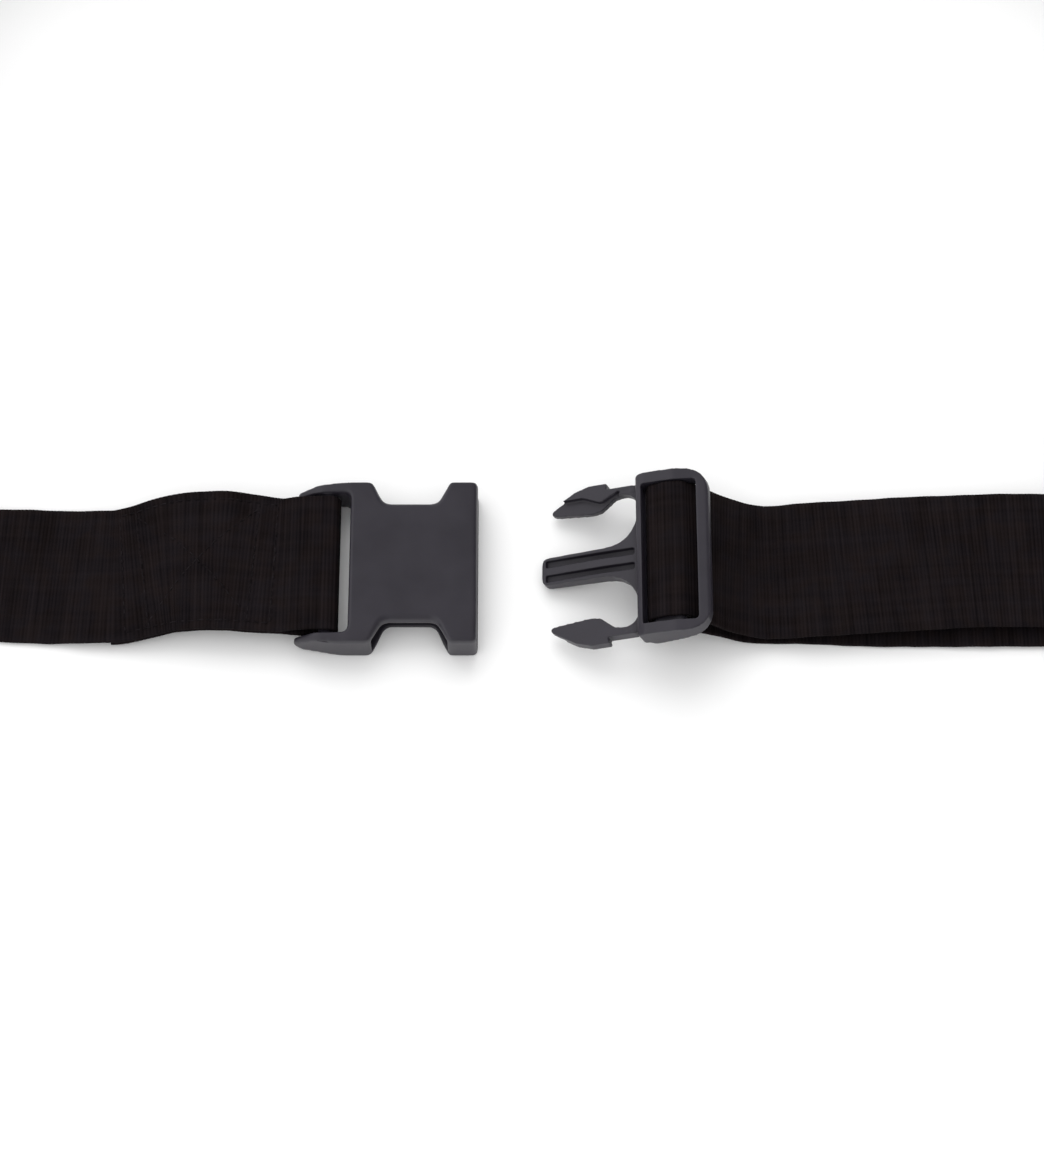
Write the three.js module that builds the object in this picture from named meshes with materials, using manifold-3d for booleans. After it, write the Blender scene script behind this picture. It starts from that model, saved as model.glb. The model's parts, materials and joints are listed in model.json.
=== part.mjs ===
// Gait belt: a 50 mm webbing belt with a side-release buckle, lying open on a table.
// Millimetres, +Z up. The origin is the centre of the receiver's flat underside, +X points
// from the receiver to the prongs, and the rest of the belt runs round a loop on the +Y side.

import * as THREE from 'three';
import { mergeVertices } from 'three/addons/utils/BufferGeometryUtils.js';
import Module from 'manifold-3d';

const wasm = await Module();
wasm.setup();

// ---------------------------------------------------------------- driving dimensions

// Webbing
const WEB_WIDTH = 50;
const WEB_THICK = 1.5;
const PLY_GAP = 0.3; // air between two plies, and between a ply and the plastic

// Receiver, the socket half of the buckle
const BODY_WIDTH = 60;
const BODY_HEIGHT = 13;
const MOUTH_X = 22;
const BODY_REAR_X = -22;
const EAR_X = 12.3; // front end of the side windows, where the prongs catch
const RAIL_END_X = -41.5;
const RAIL_WIDTH = 4;
const RAIL_TIP_HALF_SPAN = 28; // the rails narrow towards their tips
const SKIN = 1.5;
const MOUTH_HALF_WIDTH = 28.5;
const CAVITY_DEPTH = 39;
const NOTCH_HALF_WIDTH = 22; // top shell
const LOWER_NOTCH_HALF_WIDTH = 19.5; // floor plate
const WEB_BAR_X = -29.7;
const WEB_BAR_Z = 8;
const WEB_BAR_RADIUS = 2.5;

// Prong half, drawn level: u runs from the prong tips (-) to the rear bar (+), w is up
const PRONG_ROOT = new THREE.Vector3(77.7, -0.66, 15.1); // where u = 0 and w = 0 sit at rest
const PRONG_PITCH = THREE.MathUtils.degToRad(21); // tips down
const FRAME_FRONT = -0.7;
const FRAME_REAR = 24.6;
const WINDOW_FRONT = 1.5;
const WINDOW_REAR = 20.5;
const BLADE_TIP = -35.8;
const BLADE_HALF_WIDTH = 5.3;
const GROOVE_V = 2.7; // two grooves along each face of the blade
const GROOVE_WIDTH = 2.5;
const GROOVE_FLOOR = 0.5;
const CENTRE_BAR_U = 9.7;
const CENTRE_BAR_LENGTH = 11.6;
const CENTRE_BAR_THICK = 4.4;
const ARM_THICK = 4.2;
const LEDGE_LEVEL = 0.3;
const ARM_PIVOT_U = -2.4;
const ARM_PIVOT_V = 26.3;

// Belt path on the table
const CREASE_X = 121; // the webbing from the prong half meets the table here
const LEAD_END_X = 218; // the flat run at the right ends here
const RIGHT_X = 285;
const LEFT_X = -210;
const BACK_Y = 300;
const LEAD_END_Y = 3.2; // middle of the belt there
const FRONT_CORNER_RADIUS = 60;
const BACK_CORNER_RADIUS = 90;
const TAIL_END_X = 232;
const HEM_X = 214; // the folded end is sewn down this far back
const RETURN_END_X = -104; // sewn end of the webbing, under the belt
const LOOP_LIFT = 5.5; // the front right corner rides over the tail
const FAR_EDGE_LEAN = THREE.MathUtils.degToRad(4); // the sewn run leans up at its far edge
const TWIST_SHARE = 0.15; // share of the loop in which the belt turns from flat to on edge

// Sewing
const THREAD_WIDTH = 0.9;
const THREAD_THICK = 0.45;
const THREAD_LIFT = 0.12; // air between a thread and its ply
const SEAM_LEFT_X = -100;
const SEAM_RIGHT_X = -47.8;
const SEAM_HALF_WIDTH = 22;
const SEAM_ROW_STEP = 7; // between the two rows at each end of the box

const CURVE_SEGMENTS = 6; // straight pieces in each rounded corner

const half = (value) => value / 2;
const smooth = (value, from, to) => THREE.MathUtils.smoothstep(value, from, to);

// ---------------------------------------------------------------- solids and outlines

function toSolid(geometry) {
  const plain = geometry.clone();
  plain.deleteAttribute('normal');
  plain.deleteAttribute('uv');
  const merged = mergeVertices(plain, 1e-4);
  const vertProperties = new Float32Array(merged.attributes.position.array);
  const triVerts = new Uint32Array(merged.index.array);
  return new wasm.Manifold(new wasm.Mesh({ numProp: 3, vertProperties, triVerts }));
}

function toGeometry(solid) {
  const mesh = solid.getMesh();
  const geometry = new THREE.BufferGeometry();
  geometry.setAttribute('position', new THREE.BufferAttribute(mesh.vertProperties, 3));
  geometry.setIndex(new THREE.BufferAttribute(mesh.triVerts, 1));
  geometry.computeVertexNormals();
  return geometry;
}

function joined(solids) {
  return solids.reduce((whole, piece) => whole.add(piece));
}

// Closed outline through corners [x, y, radius], each corner rounded between its tangents.
function roundedOutline(corners) {
  const shape = new THREE.Shape();
  corners.forEach(([x, y, radius], index) => {
    const corner = new THREE.Vector2(x, y);
    const towards = (other) => new THREE.Vector2(other[0], other[1]).sub(corner).normalize();
    const back = towards(corners.at(index - 1));
    const ahead = towards(corners[(index + 1) % corners.length]);
    const reach = radius / Math.tan(half(Math.acos(back.dot(ahead))));
    const start = corner.clone().addScaledVector(back, reach);
    const end = corner.clone().addScaledVector(ahead, reach);
    if (index === 0) shape.moveTo(start.x, start.y);
    else shape.lineTo(start.x, start.y);
    shape.quadraticCurveTo(x, y, end.x, end.y);
  });
  shape.closePath();
  return shape;
}

// The corners given for +Y, then the same corners mirrored for -Y, as one closed outline.
function mirroredOutline(corners) {
  const mirrored = corners.map(([x, y, radius]) => [x, -y, radius]).reverse();
  return roundedOutline([...corners, ...mirrored]);
}

// An outline drawn in X and Y, between two heights.
function plate(shape, low, high) {
  const geometry = new THREE.ExtrudeGeometry(shape, {
    depth: high - low,
    bevelEnabled: false,
    curveSegments: CURVE_SEGMENTS,
  });
  return toSolid(geometry.translate(0, 0, low));
}

// An outline drawn in X and Z, across the given width in Y.
function sideCut(shape, width) {
  const geometry = new THREE.ExtrudeGeometry(shape, {
    depth: width,
    bevelEnabled: false,
    curveSegments: CURVE_SEGMENTS,
  });
  geometry.translate(0, 0, -half(width));
  return toSolid(geometry.rotateX(half(Math.PI)));
}

function block(low, high) {
  const size = new THREE.Vector3(...high).sub(new THREE.Vector3(...low));
  const middle = new THREE.Vector3(...low).addScaledVector(size, 0.5);
  const geometry = new THREE.BoxGeometry(size.x, size.y, size.z);
  return toSolid(geometry.translate(middle.x, middle.y, middle.z));
}

// ---------------------------------------------------------------- receiver

function receiverSolid() {
  const edge = half(BODY_WIDTH);
  const plan = mirroredOutline([
    [MOUTH_X, edge, 2.5],
    [EAR_X, edge, 2],
    [8, NOTCH_HALF_WIDTH, 4],
    [-10.4, NOTCH_HALF_WIDTH, 4],
    [-14.6, edge, 3],
    [-26, edge, 60],
    [RAIL_END_X, RAIL_TIP_HALF_SPAN, 1.2],
  ]);
  const side = roundedOutline([
    [MOUTH_X, 0, 1.2],
    [MOUTH_X, BODY_HEIGHT, 1.8],
    [BODY_REAR_X, BODY_HEIGHT, 4],
    [-33, BODY_HEIGHT - 0.8, 8],
    [RAIL_END_X, 6.5, 3],
    [-38.5, 2, 2.5],
    [-24, 0, 4],
  ]);
  const cavity = block(
    [MOUTH_X - CAVITY_DEPTH, -MOUTH_HALF_WIDTH, SKIN],
    [MOUTH_X + 1, MOUTH_HALF_WIDTH, BODY_HEIGHT - SKIN],
  );
  const railGap = edge - RAIL_WIDTH;
  const strapOpening = mirroredOutline([
    [BODY_REAR_X, railGap, 2.5],
    [RAIL_END_X - 1, railGap, 0.1],
  ]);
  return plate(plan, 0, BODY_HEIGHT)
    .intersect(sideCut(side, BODY_WIDTH + 2))
    .subtract(cavity)
    .subtract(lowerNotch(1))
    .subtract(lowerNotch(-1))
    .subtract(plate(strapOpening, -1, BODY_HEIGHT + 1))
    .add(webBar())
    .add(bladeGuides());
}

// The floor plate stops short of the top shell beside each side window.
function lowerNotch(side) {
  const outer = side * (half(BODY_WIDTH) + 1);
  const inner = side * LOWER_NOTCH_HALF_WIDTH;
  const outline = roundedOutline([
    [EAR_X, outer, 0.5],
    [7.4, inner, 4],
    [-9.8, inner, 4],
    [-14.6, outer, 0.5],
  ]);
  return plate(outline, -1, BODY_HEIGHT - SKIN - 1);
}

function webBar() {
  const length = BODY_WIDTH - RAIL_WIDTH;
  const bar = new THREE.CylinderGeometry(WEB_BAR_RADIUS, WEB_BAR_RADIUS, length, 24);
  return toSolid(bar.translate(WEB_BAR_X, 0, WEB_BAR_Z));
}

// Two low ribs on the floor keep the blade in the middle.
function bladeGuides() {
  const guide = (side) => {
    const inner = side * 6.2;
    const outer = side * 7.6;
    return block([-14, Math.min(inner, outer), 1], [MOUTH_X - 4, Math.max(inner, outer), SKIN + 1]);
  };
  return guide(1).add(guide(-1));
}

// ---------------------------------------------------------------- prong half

function frameSolid() {
  const edge = half(BODY_WIDTH);
  const plan = mirroredOutline([
    [FRAME_FRONT, edge - 0.8, 0.4],
    [0, edge, 0.4],
    [FRAME_REAR, edge, 9.5],
  ]);
  const windowEdge = edge - RAIL_WIDTH;
  const windowHole = mirroredOutline([
    [WINDOW_FRONT, windowEdge, 1],
    [WINDOW_REAR, windowEdge, 1.5],
  ]);
  const arched = roundedOutline([
    [FRAME_FRONT, -2.2, 0.6],
    [1.5, -2.6, 0.8],
    [3.2, -4.2, 1],
    [7, -4.2, 3],
    [FRAME_REAR, -1.8, 1.6],
    [FRAME_REAR, 1.9, 1.6],
    [13, 4.9, 8],
    [2.5, 5.4, 1.8],
    [FRAME_FRONT, 4, 0.9],
  ]);
  return plate(plan, -6, 6)
    .subtract(plate(windowHole, -7, 7))
    .intersect(sideCut(arched, BODY_WIDTH + 2))
    .add(centreBar())
    .add(bladeSolid());
}

function centreBar() {
  const rear = CENTRE_BAR_U + half(CENTRE_BAR_LENGTH);
  const front = CENTRE_BAR_U - half(CENTRE_BAR_LENGTH);
  const flat = half(CENTRE_BAR_THICK);
  const section = roundedOutline([
    [front, -flat, flat * 0.98],
    [rear, -flat, flat * 0.98],
    [rear, flat, flat * 0.98],
    [front, flat, flat * 0.98],
  ]);
  return sideCut(section, BODY_WIDTH - RAIL_WIDTH);
}

function bladeSolid() {
  const plan = new THREE.Shape();
  plan.moveTo(FRAME_FRONT + 0.6, -16);
  plan.lineTo(FRAME_FRONT + 0.6, 16);
  plan.lineTo(FRAME_FRONT, 16);
  plan.quadraticCurveTo(-3, 5.6, -13, BLADE_HALF_WIDTH);
  plan.lineTo(BLADE_TIP + 2.8, BLADE_HALF_WIDTH - 0.2);
  plan.quadraticCurveTo(BLADE_TIP, BLADE_HALF_WIDTH - 0.2, BLADE_TIP, 1.8);
  plan.lineTo(BLADE_TIP, -1.8);
  plan.quadraticCurveTo(BLADE_TIP, -BLADE_HALF_WIDTH + 0.2, BLADE_TIP + 2.8, -BLADE_HALF_WIDTH + 0.2);
  plan.lineTo(-13, -BLADE_HALF_WIDTH);
  plan.quadraticCurveTo(-3, -5.6, FRAME_FRONT, -16);
  plan.closePath();
  const side = roundedOutline([
    [FRAME_FRONT + 0.7, -2.1, 0.1],
    [FRAME_FRONT + 0.7, 2.1, 0.1],
    [-14, 2.6, 6],
    [BLADE_TIP, 1.8, 1],
    [BLADE_TIP, -1.8, 1],
    [-14, -2.6, 6],
  ]);
  const groove = (v, low, high) => (
    block([BLADE_TIP + 1.6, v - half(GROOVE_WIDTH), low], [-2, v + half(GROOVE_WIDTH), high])
  );
  const grooves = joined([-GROOVE_V, GROOVE_V].flatMap((v) => [
    groove(v, GROOVE_FLOOR, 4),
    groove(v, -4, -GROOVE_FLOOR),
  ]));
  return plate(plan, -4, 4).intersect(sideCut(side, 40)).subtract(grooves);
}

// One spring arm with its arrow head; side is 1 for the far (+Y) arm and -1 for the near one.
// Its inner part is a lower ledge, on the upper face of one arm and the lower face of the other,
// so the prong half is the same either way up.
function armSolid(side) {
  const outline = (corners) => roundedOutline(corners.map(([u, v, radius]) => [u, side * v, radius]));
  const shape = outline([
    [ARM_PIVOT_U, 25, 0.05],
    [ARM_PIVOT_U, 27.6, 0.05],
    [-11.8, 27.6, 0.4],
    [-11.6, 29.8, 0.5],
    [-18, 29.9, 4],
    [-23.6, 28.2, 4],
    [-35, 21.5, 1.8],
    [-17.6, 19.8, 3],
    [-14.4, 20.4, 1.6],
    [-9.4, 24.4, 2.5],
    [-5, 25, 2],
  ]);
  const ledge = outline([
    [-37, 18, 0.1],
    [-3.4, 18, 0.1],
    [-3.4, 26.8, 0.4],
    [-7.3, 26.5, 2],
    [-14, 22.9, 2.5],
    [-20.6, 25.8, 4],
    [-37, 25.6, 0.1],
  ]);
  const level = half(ARM_THICK);
  const knuckle = new THREE.CylinderGeometry(1.3, 1.3, ARM_THICK, 20);
  knuckle.rotateX(half(Math.PI));
  knuckle.translate(ARM_PIVOT_U, side * ARM_PIVOT_V, 0);
  const low = side > 0 ? LEDGE_LEVEL : -level - 1;
  const high = side > 0 ? level + 1 : -LEDGE_LEVEL;
  return plate(shape, -level, level).add(toSolid(knuckle)).subtract(plate(ledge, low, high));
}

// ---------------------------------------------------------------- webbing paths

// One cross-section of a run of webbing: the middle of the ply and the way its width points.
function station(x, y, z, across = new THREE.Vector3(0, 1, 0)) {
  return { point: new THREE.Vector3(x, y, z), across };
}

// A path that ExtrudeGeometry follows through given stations, with its width held by `across`.
class StationPath extends THREE.Curve {
  constructor(stations) {
    super();
    this.stations = stations;
  }

  getSpacedPoints() {
    return this.stations.map((each) => each.point);
  }

  computeFrenetFrames() {
    const last = this.stations.length - 1;
    const tangents = this.stations.map((each, index) => {
      const ahead = this.stations[Math.min(index + 1, last)].point;
      const behind = this.stations[Math.max(index - 1, 0)].point;
      return ahead.clone().sub(behind).normalize();
    });
    const normals = this.stations.map((each, index) => {
      const tangent = tangents[index];
      const along = tangent.clone().multiplyScalar(each.across.dot(tangent));
      return each.across.clone().sub(along).normalize();
    });
    const binormals = tangents.map((each, index) => each.clone().cross(normals[index]));
    return { tangents, normals, binormals };
  }
}

// Sweeps a flat bar section along stations: `width` across and `thick` high.
function sweep(stations, width, thick) {
  const section = new THREE.Shape();
  section.moveTo(-half(width), -half(thick));
  section.lineTo(half(width), -half(thick));
  section.lineTo(half(width), half(thick));
  section.lineTo(-half(width), half(thick));
  section.closePath();
  return new THREE.ExtrudeGeometry(section, {
    steps: stations.length - 1,
    bevelEnabled: false,
    extrudePath: new StationPath(stations),
  });
}

function ribbon(stations) {
  return sweep(stations, WEB_WIDTH, WEB_THICK);
}

// Evenly spaced numbers from one value to another, both included.
function steps(from, to, count) {
  return Array.from({ length: count + 1 }, (unused, index) => from + ((to - from) * index) / count);
}

// Points on a circle in X and Z, at the given angles in degrees.
function arcStations(centre, radius, fromDegrees, toDegrees, count, y) {
  return steps(fromDegrees, toDegrees, count).map((degrees) => {
    const angle = THREE.MathUtils.degToRad(degrees);
    return station(centre.x + radius * Math.cos(angle), y, centre.z + radius * Math.sin(angle));
  });
}

// Height of the air gap between the two sewn plies, from the receiver's bar down to the table.
function plyGapHeight(x) {
  const nearBar = 8.6 - 0.1 * smooth(x, -66, -50);
  return 2.1 + (nearBar - 2.1) * smooth(x, -106, -66);
}

// How much of its lean the left run has at x: none in the receiver, all of it near the seam's middle.
function leanShare(x) {
  return smooth(-x, 44, 68) * (1 - smooth(-x, 78, 106));
}

// Sideways wander of the left run: the belt isn't laid perfectly straight.
function leftWander(x) {
  return 1.2 * leanShare(x) - 1.6 * smooth(-x, 80, 104) + 1.6 * smooth(-x, 104, 150);
}

// A station of the left run, `lift` above the gap between its plies, leaning up at the far edge.
function leftStation(x, lift) {
  const lean = FAR_EDGE_LEAN * leanShare(x);
  const across = new THREE.Vector3(0, Math.cos(lean), Math.sin(lean));
  const y = leftWander(x) - lift * Math.sin(lean);
  const z = plyGapHeight(x) + half(WEB_WIDTH) * Math.sin(lean) + lift * Math.cos(lean);
  return station(x, y, z, across);
}

const PLY_OFFSET = half(WEB_THICK) + half(PLY_GAP);
const SEWN_RUN = steps(RETURN_END_X, -45, 24); // x of its stations, up to the receiver

// The sewn end: from its cut edge under the belt, to the bar, round it and back over itself.
function returnStations() {
  const radius = WEB_BAR_RADIUS + PLY_GAP + half(WEB_THICK);
  const bar = { x: WEB_BAR_X, z: WEB_BAR_Z };
  const under = SEWN_RUN.map((x) => leftStation(x, -PLY_OFFSET));
  const rise = [
    station(-40, 0, 6.4),
    station(-35, 0, 5),
  ];
  const loop = arcStations(bar, radius, -100, 95, 14, 0);
  return [...under, ...rise, ...loop];
}

// Upper ply from the bar down to the table and along to the left end of the flat run.
function leftStations() {
  const over = [-35, -40].map((x) => station(x, 0, 11.45 - 0.1 * (-35 - x)));
  const sewn = SEWN_RUN.map((x) => leftStation(x, PLY_OFFSET + 0.05)).reverse();
  const landing = steps(-108, -144, 7).map((x) => {
    const rest = half(WEB_THICK);
    const start = plyGapHeight(-106) + PLY_OFFSET;
    return station(x, leftWander(x), start + (rest - start) * smooth(-x, 105, 128));
  });
  return [...over, ...sewn, ...landing];
}

// The belt standing on its lower edge: a rounded rectangle on the table, walked clockwise from
// the front left to the front right. `turn` is 0 lying flat and 1 standing on edge.
function loopStations() {
  const frontY = -half(WEB_WIDTH);
  const frontRightY = frontY + LEAD_END_Y;
  const leftCorner = LEFT_X + FRONT_CORNER_RADIUS;
  const rightCorner = RIGHT_X - FRONT_CORNER_RADIUS;
  const corner = (x, y, radius, fromDegrees, count) => (
    steps(fromDegrees, fromDegrees - 90, count).map((degrees) => {
      const angle = THREE.MathUtils.degToRad(degrees);
      return [x + radius * Math.cos(angle), y + radius * Math.sin(angle), degrees];
    })
  );
  const r = BACK_CORNER_RADIUS;
  const f = FRONT_CORNER_RADIUS;
  const edge = [
    ...corner(leftCorner, frontY + f, f, -90, 10),
    ...steps(frontY + f + 12, BACK_Y - r - 12, 8).map((y) => [LEFT_X, y, 180]),
    ...corner(LEFT_X + r, BACK_Y - r, r, 180, 10),
    ...steps(LEFT_X + r + 20, RIGHT_X - r - 20, 12).map((x) => [x, BACK_Y, 90]),
    ...corner(RIGHT_X - r, BACK_Y - r, r, 90, 10),
    ...steps(BACK_Y - r - 12, frontRightY + f + 12, 8).map((y) => [RIGHT_X, y, 0]),
    ...corner(rightCorner, frontRightY + f, f, 0, 10),
    ...steps(rightCorner - 3, LEAD_END_X, 1).map((x) => [x, frontRightY, -90]),
  ];
  return edge.map(([x, y, degrees], index) => {
    const travelled = index / (edge.length - 1);
    return edgeStation(x, y, degrees, twistAt(travelled), LOOP_LIFT * smooth(travelled, 0.7, 0.93));
  });
}

function twistAt(travelled) {
  const left = smooth(travelled, 0, TWIST_SHARE);
  const right = smooth(1 - travelled, 0.01, TWIST_SHARE);
  return Math.min(left, right);
}

// A station whose lower edge stands at (x, y); `degrees` is the outward direction there.
function edgeStation(x, y, degrees, turn, lift) {
  const outward = THREE.MathUtils.degToRad(degrees);
  const tilt = half(Math.PI) * turn;
  const inward = new THREE.Vector3(-Math.cos(outward), -Math.sin(outward), 0);
  const across = inward.multiplyScalar(Math.cos(tilt));
  across.z = Math.sin(tilt);
  const middle = new THREE.Vector3(x, y, 0).addScaledVector(across, half(WEB_WIDTH));
  middle.z += half(WEB_THICK) * Math.cos(tilt) + lift;
  return { point: middle, across };
}

// Height of the middle of the upper ply at the right, from the prong half to the front corner.
function leadHeight(x) {
  const settle = 4.6 + 1.9 * smooth(x, CREASE_X + 1, CREASE_X + 16);
  return settle + (half(WEB_THICK) + LOOP_LIFT - 6.5) * smooth(x, 160, LEAD_END_X - 10);
}

function leadWander(x) {
  return PRONG_ROOT.y + (LEAD_END_Y - PRONG_ROOT.y) * smooth(x, CREASE_X, LEAD_END_X - 10);
}

// Where a point (u, w) of the prong half sits at rest.
function atRest(u, w) {
  const turned = new THREE.Vector3(u, 0, w).applyAxisAngle(new THREE.Vector3(0, 1, 0), -PRONG_PITCH);
  return turned.add(PRONG_ROOT);
}

const LOOP_RADIUS = half(CENTRE_BAR_THICK) + PLY_GAP + half(WEB_THICK);
const LOOP_REACH = half(CENTRE_BAR_LENGTH) - half(CENTRE_BAR_THICK);
const LOOP_UPPER_END = 46; // degrees round the rear of the centre bar, where the upper ply leaves
const LOOP_LOWER_END = 237; // degrees round its front, where the lower ply leaves

// The webbing round the centre bar: a half turn at each long edge of the flat bar.
function adjusterLoopStations() {
  const rear = atRest(CENTRE_BAR_U + LOOP_REACH, 0);
  const front = atRest(CENTRE_BAR_U - LOOP_REACH, 0);
  const crest = 90 + THREE.MathUtils.radToDeg(PRONG_PITCH);
  return [
    ...arcStations(rear, LOOP_RADIUS, LOOP_UPPER_END, crest, 6, PRONG_ROOT.y),
    ...arcStations(front, LOOP_RADIUS, crest, LOOP_LOWER_END, 12, PRONG_ROOT.y),
  ];
}

// A point just off the loop's end, straight on from it; turn is 1 clockwise and -1 the other way.
function offLoop(u, degrees, turn) {
  const centre = atRest(u, 0);
  const angle = THREE.MathUtils.degToRad(degrees);
  const away = 2 * PLY_GAP * turn;
  const x = centre.x + LOOP_RADIUS * Math.cos(angle) + away * Math.sin(angle);
  const z = centre.z + LOOP_RADIUS * Math.sin(angle) - away * Math.cos(angle);
  return [x, z];
}

// The upper ply hangs from over the centre bar, under the rear bar, to the crease at the table.
function upperPlyStations() {
  return [
    offLoop(CENTRE_BAR_U + LOOP_REACH, LOOP_UPPER_END, 1),
    [95.2, 20.5],
    [98.2, 18],
    [102, 14.2],
    [107, 10.4],
    [112, 7.7],
    [117, 5.6],
    [CREASE_X - 2 * PLY_GAP, 4.6],
  ].map(([x, z]) => station(x, PRONG_ROOT.y, z));
}

// The lower ply hangs from under the centre bar down to the table, where the tail begins.
function lowerPlyStations() {
  return [
    offLoop(CENTRE_BAR_U - LOOP_REACH, LOOP_LOWER_END, -1),
    [86, 12.4],
    [91, 10.6],
    [97, 8.1],
    [103, 5.5],
    [108, 3.5],
    [113, 1.8],
    [117, 1],
    [CREASE_X - 5 * PLY_GAP, half(WEB_THICK)],
  ].map(([x, z]) => station(x, PRONG_ROOT.y, z));
}

// The tail lies on the table under the lead run, and its end is folded back on itself.
function tailStations() {
  const flat = steps(CREASE_X, HEM_X, 7).map((x) => station(x, tailWander(x), tailHeight(x)));
  const foldX = TAIL_END_X - PLY_OFFSET - half(WEB_THICK);
  const fold = { x: foldX, z: tailHeight(TAIL_END_X) + PLY_OFFSET };
  const turn = arcStations(fold, PLY_OFFSET, -90, 90, 8, tailWander(TAIL_END_X));
  const back = station(HEM_X + 2, tailWander(TAIL_END_X), fold.z + PLY_OFFSET);
  return [...flat, ...turn, back];
}

function tailHeight(x) {
  return half(WEB_THICK) + 0.65 * smooth(x, 170, HEM_X);
}

function tailWander(x) {
  return PRONG_ROOT.y - 1.4 * smooth(x, CREASE_X, 170);
}

// ---------------------------------------------------------------- sewing

// A thin sheet over (side 1) or under (side -1) the two sewn plies, which the thread lines
// are cut from.
function threadSheet(side) {
  const distance = PLY_OFFSET + half(WEB_THICK) + THREAD_LIFT + half(THREAD_THICK) + 0.05;
  const stations = SEWN_RUN.map((x) => {
    const base = leftStation(x, 0);
    const along = leftStation(x + 0.5, 0).point.sub(leftStation(x - 0.5, 0).point);
    const normal = along.cross(base.across).normalize();
    base.point.addScaledVector(normal, side * distance);
    return base;
  });
  const ply = side > 0 ? leftStations() : returnStations();
  const clearance = sweep(ply, WEB_WIDTH, WEB_THICK + 2 * THREAD_LIFT);
  return toSolid(sweep(stations, 2 * SEAM_HALF_WIDTH + 4, THREAD_THICK)).subtract(toSolid(clearance));
}

// A patch of the seam in plan, between two x and two offsets from the belt's middle line.
function seamPatch(fromX, toX, lowAt, highAt) {
  const along = steps(fromX, toX, 6);
  const corner = (x, offset) => new THREE.Vector2(x, leftWander(x) + offset(x));
  const low = along.map((x) => corner(x, lowAt));
  const high = along.reverse().map((x) => corner(x, highAt));
  return plate(new THREE.Shape([...low, ...high]), -5, 20);
}

// The box: two long rows and a double row across each end.
function boxThread(side) {
  const t = half(THREAD_WIDTH);
  const patch = (fromX, toX, reach) => seamPatch(fromX, toX, () => -reach, () => reach);
  const rows = [
    SEAM_LEFT_X,
    SEAM_LEFT_X + SEAM_ROW_STEP,
    SEAM_RIGHT_X - SEAM_ROW_STEP,
    SEAM_RIGHT_X,
  ];
  const outer = patch(rows[0] - t, rows[3] + t, SEAM_HALF_WIDTH + t);
  const openings = [0, 1, 2].map((index) => (
    patch(rows[index] + t, rows[index + 1] - t, SEAM_HALF_WIDTH - t)
  ));
  return threadSheet(side).intersect(outer.subtract(joined(openings)));
}

// The cross inside the box, stopping just short of the box's rows.
function crossThread(side) {
  const left = SEAM_LEFT_X + SEAM_ROW_STEP + 1.6;
  const right = SEAM_RIGHT_X - SEAM_ROW_STEP - 1.6;
  const reach = SEAM_HALF_WIDTH - 2;
  const diagonal = (way) => {
    const middle = (x) => way * reach * THREE.MathUtils.mapLinear(x, left, right, -1, 1);
    return seamPatch(left, right, (x) => middle(x) - THREAD_WIDTH, (x) => middle(x) + THREAD_WIDTH);
  };
  return threadSheet(side).intersect(diagonal(1).add(diagonal(-1)));
}

// A row of stitches across the folded end of the tail: above its two plies, or below them.
function hemThread(side) {
  const x = HEM_X + 6;
  const t = half(THREAD_WIDTH);
  const reach = half(WEB_WIDTH) - 3;
  const middle = tailHeight(x) + PLY_OFFSET;
  const height = middle + side * (PLY_OFFSET + half(WEB_THICK) + THREAD_LIFT + half(THREAD_THICK));
  const y = tailWander(x);
  return block(
    [x - t, y - reach, height - half(THREAD_THICK)],
    [x + t, y + reach, height + half(THREAD_THICK)],
  );
}

// ---------------------------------------------------------------- materials and assembly

const matt = (color, roughness) => new THREE.MeshStandardMaterial({ color, roughness, metalness: 0 });
const bucklePlastic = () => matt(0x3b3d46, 0.55);
const webbingBlack = () => matt(0x1d1a1c, 0.85);
const threadBlack = () => matt(0x151315, 0.7);

function named(name, geometry, material) {
  const mesh = new THREE.Mesh(geometry, material);
  mesh.name = name;
  return mesh;
}

function prongHalf() {
  const group = new THREE.Group();
  group.position.copy(PRONG_ROOT);
  group.rotation.y = -PRONG_PITCH;
  group.add(named('prong_frame', toGeometry(frameSolid()), bucklePlastic()));
  group.add(named('latch_arm_far', toGeometry(armSolid(1)), bucklePlastic()));
  group.add(named('latch_arm_near', toGeometry(armSolid(-1)), bucklePlastic()));
  return group;
}

function webbing() {
  const group = new THREE.Group();
  const belt = [...returnStations(), ...leftStations(), ...loopStations()];
  const lead = steps(LEAD_END_X - 2 * PLY_GAP, CREASE_X, 16).map((x) => (
    station(x, leadWander(x), leadHeight(x))
  ));
  group.add(named('belt_webbing', ribbon(belt), webbingBlack()));
  group.add(named('lead_webbing', ribbon(lead), webbingBlack()));
  group.add(named('adjuster_loop', ribbon(adjusterLoopStations()), webbingBlack()));
  group.add(named('adjuster_upper_ply', ribbon(upperPlyStations()), webbingBlack()));
  group.add(named('adjuster_lower_ply', ribbon(lowerPlyStations()), webbingBlack()));
  group.add(named('tail_webbing', ribbon(tailStations()), webbingBlack()));
  return group;
}

function sewing() {
  const group = new THREE.Group();
  group.add(named('box_thread_upper', toGeometry(boxThread(1)), threadBlack()));
  group.add(named('box_thread_lower', toGeometry(boxThread(-1)), threadBlack()));
  group.add(named('cross_thread_upper', toGeometry(crossThread(1)), threadBlack()));
  group.add(named('cross_thread_lower', toGeometry(crossThread(-1)), threadBlack()));
  group.add(named('hem_thread_upper', toGeometry(hemThread(1)), threadBlack()));
  group.add(named('hem_thread_lower', toGeometry(hemThread(-1)), threadBlack()));
  return group;
}

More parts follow.
